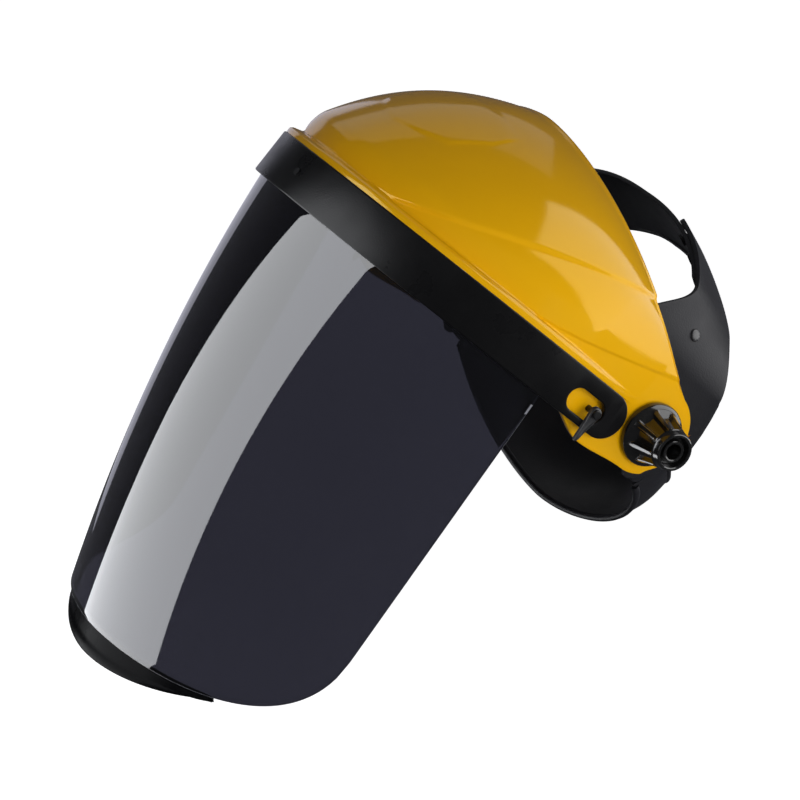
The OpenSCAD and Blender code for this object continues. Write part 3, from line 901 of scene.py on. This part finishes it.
def arch_level(v, k):
    """Height of the crown arch, whose rear edge is the lower one."""
    n = lerp(1.7, 2.2, k)
    return ARCH_BASE + (CROWN_TOP - ARCH_BASE - ARCH_DROP * (1 - k)) * sind(90 * (1 - abs(v))) ** (2 / n)


def crown_point(v, k, inset=0.0):
    """The crown arch: v is 1 at the left plate, 0 on top and -1 at the right; k runs rear to front."""
    n, z = lerp(1.7, 2.2, k), arch_level(v, k)
    front = lerp(PLATE_FRONT, STRAP_FRONT, smooth((z - 40) / 26))
    back = lerp(PLATE_BACK, STRAP_BACK, smooth((z - 25) / 30))
    reach = (PLATE_X - 0.12) * cosd(90 * (1 - abs(v))) ** (2 / n) - inset * abs(v)
    return Vector((math.copysign(reach, v), -lerp(back, front, k), z - inset * (1 - abs(v))))


def plate_point(z, k):
    """The flat plate beside the temple, between its rear and front edges."""
    back = table(z, (-22, -19.5), (-20, -22), (-17, -25.5), (-12, -31), (-8, -34.8), (-4, -36.8),
                 (6, -38.4), (14, -38), (22, -36.8), (30, PLATE_BACK))
    front = table(z, (-22, -17), (-20, -15), (-17.5, -11), (-16, -4), (-15, 6), (-13.5, 13), (-10, 18),
                  (-4, 24), (1, 28), (6, 29.6), (14, PLATE_FRONT))
    return Vector((PLATE_X - 0.12 * smooth((z - 10) / 20), -lerp(back, front, k), z))


def half_harness(v_end, tuck, narrow, bead):
    """One side plate with its half of the crown strap, tucked under the other half by tuck."""
    cols, bottom = 26, -22
    rows = [[plate_point(lerp(bottom, ARCH_BASE, j / 40), i / cols) for i in range(cols + 1)]
            for j in range(40)]
    for j in range(91):
        v = 1 - (1 - v_end) * j / 90
        rear = narrow * smooth((0.62 - v) / 0.35)
        full = 0.35 + 0.65 * smooth((v - v_end) / 0.05)
        lo = lerp((rear + 1) / 2, rear, full)
        hi = lerp((rear + 1) / 2, 1, full)
        inset = tuck * smooth((1 - v) / 0.6)
        rows.append([crown_point(v, lerp(lo, hi, i / cols), inset) for i in range(cols + 1)])
    bm = shell(rows, STRAP_TH - 0.2, 0.55, 3, inward=False)
    if bead:
        edge = [crown_point(lerp(0.93, v_end, j / 90), 0.05, tuck * smooth(j / 60) + 1.6) for j in range(91)]
        bm = joined(bm, tube(edge, 1.7, 0.8))
    return bm


def side_plates():
    """The two temple plates: the left strap lies on top, the right one is rolled along its rear edge."""
    new_piece("harness_left", half_harness(0.2, 0.0, 0.6, False), "headgear",
              HARNESS_GREY, ["side_plate_left"], 50)
    new_piece("harness_right", mirrored(half_harness(-0.62, 3.2, 0.0, True)), "headgear",
              HARNESS_GREY, ["side_plate_right"], 50)


def plate_stud(inset):
    """Snap stud's domed head, square to the plate above the pivot."""
    along = crown_point(STUD_V - 0.03, 0.5) - crown_point(STUD_V + 0.03, 0.5)
    out = along.cross(crown_point(STUD_V, 0.6) - crown_point(STUD_V, 0.4)).normalized()
    bm = turned(domed(0.4, 2.9, 0.8, STRAP_TH - 0.4), 48)
    turn = out.to_track_quat("X", "Z").to_matrix().to_4x4()
    bm.transform(Matrix.Translation(crown_point(STUD_V, 0.5, inset)) @ turn)
    return bm


def studs():
    pair = joined(plate_stud(0.0), mirrored(plate_stud(0.7)))
    new_piece("plate_stud_pair", pair, "headgear", LATCH_GREY, ["plate_studs"])


def nape_point(t, k):
    """The nape cup: t runs from 0 on the left round the back to 180; k is 0 at its top edge."""
    c, s = cosd(t), max(sind(t), 0.0)
    top = Vector((TUCK_X * sgn_pow(c, 0.8), 36 + 42 * s ** 1.8, -4 - 10 * s))
    low = Vector((TUCK_X * sgn_pow(c, 1.19), 26.7 + 30.5 * s ** 0.8, -22.7 - 31.7 * s ** 1.18))
    return top.lerp(low, k) + Vector((0, 5 * s, -2 * s)) * sind(180 * k)


def nape_strap():
    """The cupped strap with its rolled edges and its slotted tabs."""
    cols, rows = 180, 26
    bm = shell([[nape_point(180 * (1 - i / cols), j / rows) for i in range(cols + 1)]
                for j in range(rows + 1)], STRAP_TH - 0.3, 0.5, 3)
    lip = [nape_point(180 * i / cols, 0.985) + Vector((0, -0.6, 0.2)) for i in range(2, cols - 1)]
    brim = [nape_point(180 * i / cols, 0.02) + Vector((0, -0.4, -0.2)) for i in range(2, cols - 1)]
    tab = rounded([(-36.5, -5), (-37, 4), (-16, 2), (-14, -14), (-18, -20), (-27, -22.2)], 3.0)
    slot = extruded([(60, -f, u) for f, u in slot_outline(-26, -4, 10, 4.4, 20)], (50, 0, 0))
    tabs = cut_by(plate(tab, TUCK_X - STRAP_TH, TUCK_X - 0.1), slot)
    bm = joined(bm, tube(lip, 1.9, 0.75), tube(brim, 1.3, 0.75), mirrored(tabs), tabs)
    new_piece("nape_cup", bm, "nape", HARNESS_GREY, ["nape_strap"], 45)


def band_edges(f):
    """Lower and upper level of the forehead band, f forward of the pivots."""
    low = table(f, (-13, -12), (10, -12), (30, -5), (60, 3), (BAND_FRONT, 8))
    high = table(f, (-13, 28), (30, 32), (62, 42), (BAND_FRONT, 46))
    return low, high


def band_row(half_w, front, margin, t0, t1, count, leg=0.0):
    """(x, y, low, high) along the forehead band; leg runs its ends on behind the pivots."""
    pts = [plan(t0 + (t1 - t0) * i / count, half_w, front, 0.0, 2.2) for i in range(count + 1)]
    if leg:
        left = [(half_w, leg * (1 - k / 8)) for k in range(8)]
        right = [(-half_w, leg * k / 8) for k in range(1, 9)]
        pts = left + pts + right
    out = []
    for x, y in pts:
        low, high = band_edges(-y)
        out.append((x, y, low + margin, high - margin))
    return out


def forehead_band():
    """The moulded U that carries the sweatband."""
    row = band_row(BAND_X, BAND_FRONT, 0.0, 0, 180, 150, 13.0)
    rows = [[Vector((x, y, lerp(low, high, j / 14))) for x, y, low, high in row] for j in range(15)]
    new_piece("forehead_strap", shell(rows, STRAP_TH, 0.6, 3, inward=False), "headgear",
              HARNESS_GREY, ["forehead_band"], 50)


def sweatband():
    """Cloth over foam: a crowned strip sewn along its long edges, puckered at the seams."""
    half_th, section = 3.0, 26
    row = band_row(BAND_X - STRAP_TH - 0.2, BAND_FRONT - STRAP_TH - 0.2, 2.0, 26, 154, 220)
    bm = bmesh.new()
    rings = []
    for i, (x, y, low, high) in enumerate(row):
        near, far = row[max(i - 1, 0)], row[min(i + 1, len(row) - 1)]
        along = Vector((far[0] - near[0], far[1] - near[1])).normalized()
        inward = Vector((along.y, -along.x))
        if inward.dot(Vector((x, y))) > 0:
            inward = -inward
        end = min(i, len(row) - 1 - i) / 9.0
        full = math.sqrt(1 - (1 - min(end, 1.0)) ** 2)
        pucker = 0.35 * sind(i * 41.0) + 0.25 * sind(i * 73.0 + 40)
        h = (high - low) / 2 * (0.55 + 0.45 * full)
        ring = []
        for j in range(section):
            up, depth = cosd(360 * j / section), sind(360 * j / section)
            pressed = 0.98 if depth < 0 else 1.0
            at_seam = abs(up) ** 10
            bulge = half_th * sgn_pow(depth, 0.62) * (0.25 + 0.72 * full) * pressed
            d = half_th + bulge + pucker * at_seam * 0.5
            z = (high + low) / 2 + h * sgn_pow(up, 0.8) + 0.3 * pucker * at_seam
            ring.append(bm.verts.new((x + inward.x * d, y + inward.y * d, z)))
        rings.append(ring)
    wrapped(bm, rings)
    bm.faces.new(rings[0][::-1])
    bm.faces.new(rings[-1])
    bm = baked(bm, [("SUBSURF", {"levels": 1, "render_levels": 1})])
    pad = new_piece("sweatband_pad", bm, "headgear", CLOTH, ["sweatband"], 180)


side_plates()
studs()
nape_strap()
forehead_band()
sweatband()


# ---------------------------------------------------------------- knobs, latches and fasteners
FLUTES = 8
KNOB_HOLE_R = 3.7


def knob():
    """Fluted cone on a round flange, with a ringed, cupped tip."""
    x0, top = KNOB_X, KNOB_TOP
    outer = from_x(x0, (0, 3.1), (0, 14.2), (0.5, 14.9), (1.2, 15.0), (2.6, 14.9), (3.5, 14.4),
                   (4.0, 13.7), (4.2, 13.3))
    body = [(x0 + 4.4 + (top - x0 - 8.4) * k / 18, lerp(13.2, 9.6, (k / 18) ** 0.85)) for k in range(19)]
    tip = from_x(top, (-3.6, 9.35), (-3.2, 9.1), (-1.0, 8.9), (-0.3, 8.7), (0, 8.3), (0, 7.6), (-0.4, 7.2),
                 (-3.8, 6.8), (-4.1, 6.5), (-4.1, 5.6), (-3.9, 5.35), (-1.1, 5.2), (-0.8, 4.9), (-0.8, 4.2),
                 (-1.1, KNOB_HOLE_R), (-12.0, KNOB_HOLE_R), (-12.2, 3.1))

    def radius(x, r, a):
        along = (x - x0 - 4.4) / (top - x0 - 8.4)
        if not 0 < along < 1 or r < 9.5:
            return r
        turn = (a * FLUTES / 360) % 1.0 - 0.5
        scoop = smooth((0.40 - abs(turn)) / 0.10)
        hollow = 1 - 0.35 * (turn / 0.4) ** 2
        return r - 3.0 * scoop * hollow * smooth(along / 0.12) * smooth((1 - along) / 0.16)

    return turned(outer + body + tip + [outer[0]], 192, radius=radius)


def insert():
    """Brass nut moulded into the knob."""
    return turned(from_x(KNOB_X + 2, (0, 3.1), (0, 4.8), (0.3, 5.0), (7.7, 5.0), (8, 4.8), (8, 3.6),
                         (7.6, 3.1), (0, 3.1)), 64)


def latch():
    """Tear-drop lever with a raised rim round a shallow hollow."""
    x0, eye = HALF_W + 0.3, 2.9
    outline = [(eye * sind(a), eye * cosd(a)) for a in range(-90, 91, 12)] + [
        (2.2, -4.5), (1.35, -10.0), (0.9, -14.2), (0.3, -14.9),
        (-0.3, -14.9), (-0.9, -14.2), (-1.35, -10.0), (-2.2, -4.5)]
    levels = [(0.0, 1.0), (1.3, 1.0), (1.8, 0.93), (2.0, 0.84), (1.9, 0.74), (1.45, 0.62)]
    bm = bmesh.new()
    rings = [[bm.verts.new((x0 + h, LATCH_Y - f * k, LATCH_Z + lerp(-1.5, u, k))) for f, u in outline]
             for h, k in levels]
    wrapped(bm, rings)
    bm.faces.new(rings[0])
    bm.faces.new(rings[-1])
    return baked(bm, [bevel(0.15, 2, 30)])


def latch_pin():
    """Pin with a chamfered head outside the lever."""
    shank = from_x(ARM_X, (0, 0.0), (0, 1.25), (0.2, 1.45))
    head = from_x(HALF_W + 2.6, (0, 1.45), (0, 2.2), (0.5, 2.2), (0.9, 1.7), (1.0, 0.0))
    return turned(shank + head, 40, LATCH_Y, LATCH_Z)


def peg(inner, y, z):
    """A snap peg: shank with a domed head on each side of the plates."""
    shank = from_x(inner, (-1.2, 0.0), (-1.2, 2.7), (-0.7, 3.2), (0, 3.3), (0, 1.98))
    return joined(turned(domed(PLATE_X, 3.3, 1.2, 0.0), 48, y, z),
                  turned(shank + [(PLATE_X, 1.98), (PLATE_X, 0.0)], 48, y, z))


def pivot_bolt():
    """Flat round head inside the band, shank with a rolled thread and a domed end inside the knob."""
    lo, hi = node_box("pivot_bolt_left")
    head = from_x(lo.x, (0, 0.0), (0, 1.5), (0.3, 5.2), (0.9, 6.6), (1.6, 7.0), (2.2, 7.0), (2.4, 6.8),
                  (2.4, 2.98))
    thread = [(hi.x - 14 + 0.5 * k, 2.98 if k % 2 else 2.7) for k in range(26)]
    return turned(head + thread + from_x(hi.x, (-0.8, 2.6), (-0.4, 2.1), (-0.1, 1.2), (0, 0.0)), 64)


def pegs():
    """The pegs of the forehead band and of the nape strap."""
    for name, node, inner, y, z in (("band_rivet_pair", "band_rivets", BAND_X - STRAP_TH - 2.1, -20.0, 8.0),
                                    ("nape_peg_pair", "nape_pegs", TUCK_X - STRAP_TH - 0.5, 31.0, -4.0)):
        new_piece(name, joined(mirrored(peg(inner, y, z)), peg(inner, y, z)), "headgear",
                  PART_BLACK, [node])


def fittings():
    """Everything that comes in a left and a right one."""
    both("grip_knob", knob, ("left_knob", "right_knob"), KNOB_BLACK, "knob", 30)
    both("brass_insert", insert, ("left_knob", "right_knob"), BRASS, "knob_insert")
    both("latch_lever", latch, ("left_latch", "right_latch"), LATCH_GREY, "latch", 40)
    both("pivot_stud", pivot_bolt, ("headgear", "headgear"), STEEL, "pivot_bolt")
    both("latch_stud", latch_pin, ("shield", "shield"), PART_BLACK, "latch_pin")
    pegs()


def carried_over():
    """Materials for the CAD nodes that stay as they are."""
    finish = {"visor_clamp": FRAME_BLACK, "frame_rivets": PART_BLACK, "crown_pins": PART_BLACK}
    for side in ("left", "right"):
        finish.update({f"pivot_spacer_{side}": PART_BLACK, f"friction_washer_{side}": RUBBER})
    for node, material in finish.items():
        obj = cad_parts[node]
        obj.data.materials.clear()
        obj.data.materials.append(material)


fittings()
carried_over()

# ---------------------------------------------------------------- camera, floor and light
CAM_AZ, CAM_EL, CAM_ROLL = 53.78, 1.91, 38.39
CAM_DIST, CAM_RIGHT, CAM_UP = 1.6661, -0.03349, -0.05948
CAM_LENS = 162.0


def camera():
    """The camera, looking at the pivots from CAM_AZ and CAM_EL and rolled; returns the picture's axes."""
    data = bpy.data.cameras.new("camera")
    data.lens, data.sensor_width = CAM_LENS, 36.0
    cam = placed("camera", data)
    az, el, roll = (math.radians(v) for v in (CAM_AZ, CAM_EL, CAM_ROLL))
    back = Vector((math.sin(az) * math.cos(el), -math.cos(az) * math.cos(el), math.sin(el)))
    right = Vector((math.cos(az), math.sin(az), 0))
    up = back.cross(right)
    cam.location = back * CAM_DIST + right * CAM_RIGHT + up * CAM_UP
    image_right = right * math.cos(roll) + up * math.sin(roll)
    image_up = up * math.cos(roll) - right * math.sin(roll)
    cam.rotation_mode = "QUATERNION"
    cam.rotation_quaternion = Matrix((image_right, image_up, back)).transposed().to_quaternion()
    bpy.context.scene.camera = cam
    return back, image_right, image_up


BACK, IMAGE_RIGHT, IMAGE_UP = camera()


def floor():
    """A pale bowl of a floor that rises far off, so that no horizon shows."""
    level = cad_box[0].z - 0.12
    profile = [(1.0, 0.0), (2.5, 0.0), (4.0, 0.05), (5.2, 0.4), (6.2, 1.2), (6.8, 2.5), (7.0, 4.5),
               (7.0, 7.0)]
    bm = bmesh.new()
    rings = [[bm.verts.new((r * cosd(a), r * sind(a), level + z)) for a in range(0, 360, 5)]
             for r, z in profile]
    centre = bm.verts.new((0, 0, level))
    for i in range(72):
        bm.faces.new((centre, rings[0][i], rings[0][(i + 1) % 72]))
        for a, b in zip(rings, rings[1:]):
            bm.faces.new((a[i], b[i], b[(i + 1) % 72], a[(i + 1) % 72]))
    obj = placed("floor", mesh_of("floor", bm))
    obj.data.shade_smooth()
    obj.modifiers.new("smooth", "SUBSURF").render_levels = 2
    sh = Shader("floor_white")
    sh.set(Roughness=0.9, Specular_IOR_Level=0.1)
    sh.to("Base Color", sh.ramp(sh.noise(0.6, 2.0), (0.3, 0.84), (0.7, 0.87)))
    sh.bsdf.inputs["Emission Color"].default_value = (1, 1, 1, 1)
    sh.bsdf.inputs["Emission Strength"].default_value = 0.95
    obj.data.materials.append(sh.mat)
    obj.visible_glossy = False
    obj.visible_diffuse = False


floor()


def picture(v):
    """A direction given as (right, up, towards the camera) in the picture."""
    return IMAGE_RIGHT * v[0] + IMAGE_UP * v[1] + BACK * v[2]


def panel(name, place, away, along, size, radiance, colour=(1, 1, 1), diffuse=True, glossy=True):
    """A soft light in the picture's axes: it faces against away, and its length lies along along."""
    x, z = picture(along).normalized(), picture(away).normalized()
    y = z.cross(x)
    data = bpy.data.lights.new(name, "AREA")
    data.shape, data.size, data.size_y, data.color = "RECTANGLE", size[0], size[1], colour
    data.energy = radiance * math.pi * size[0] * size[1]
    obj = placed(name, data)
    obj.location = CENTRE + picture(place)
    obj.rotation_mode = "QUATERNION"
    obj.rotation_quaternion = Matrix((x, y, z)).transposed().to_quaternion()
    obj.visible_diffuse, obj.visible_glossy = diffuse, glossy
    obj.visible_transmission = diffuse and glossy
    obj.visible_camera = False


CENTRE = Vector((0, -0.04, -0.06))
KEY = ((1.2, 0.76, 0.37), (1, 0, 0), (0, 0.94, 0.34), (2.3, 1.45))
panel("key_shine", *KEY, 2.8, diffuse=False)
panel("key_fill", *KEY, 1.1, glossy=False)
panel("visor_strip", (-1.2, 0.256, 0.307), (-1, 0, 0), (0, 0.64, 0.768), (2.5, 1.04), 5.6,
      colour=(0.95, 0.97, 1.0), diffuse=False)
panel("left_fill", (-1.3, 0.6, 0.8), (-1, 0, 0), (0, 1, 0), (1.6, 1.3), 0.8, glossy=False)
panel("overhead", (0, 1.6, -1.1), (0, 1, 0), (1, 0, 0), (1.8, 1.3), 0.35)
panel("front_fill", (0.4, 0.2, 2.2), (0, 0, 1), (0, 1, 0), (3.0, 3.0), 0.9, glossy=False)
panel("right_fill", (1.3, -0.7, 1.1), (1, -0.4, 0.8), (0, 1, 0), (1.6, 1.6), 3.0, glossy=False)
panel("rim", (-0.55, 0.6, -1.7), (-0.3, 0.2, -1), (0, 1, 0), (1.1, 0.8), 0.6,
      colour=(0.85, 0.85, 1.0), diffuse=False)

world = bpy.context.scene.world = bpy.data.worlds.new("world")
world.use_nodes = True
sky = world.node_tree.nodes["Background"].inputs
sky["Color"].default_value, sky["Strength"].default_value = (0.85, 0.87, 0.95, 1), 0.08
bpy.context.scene.view_settings.view_transform = "Standard"
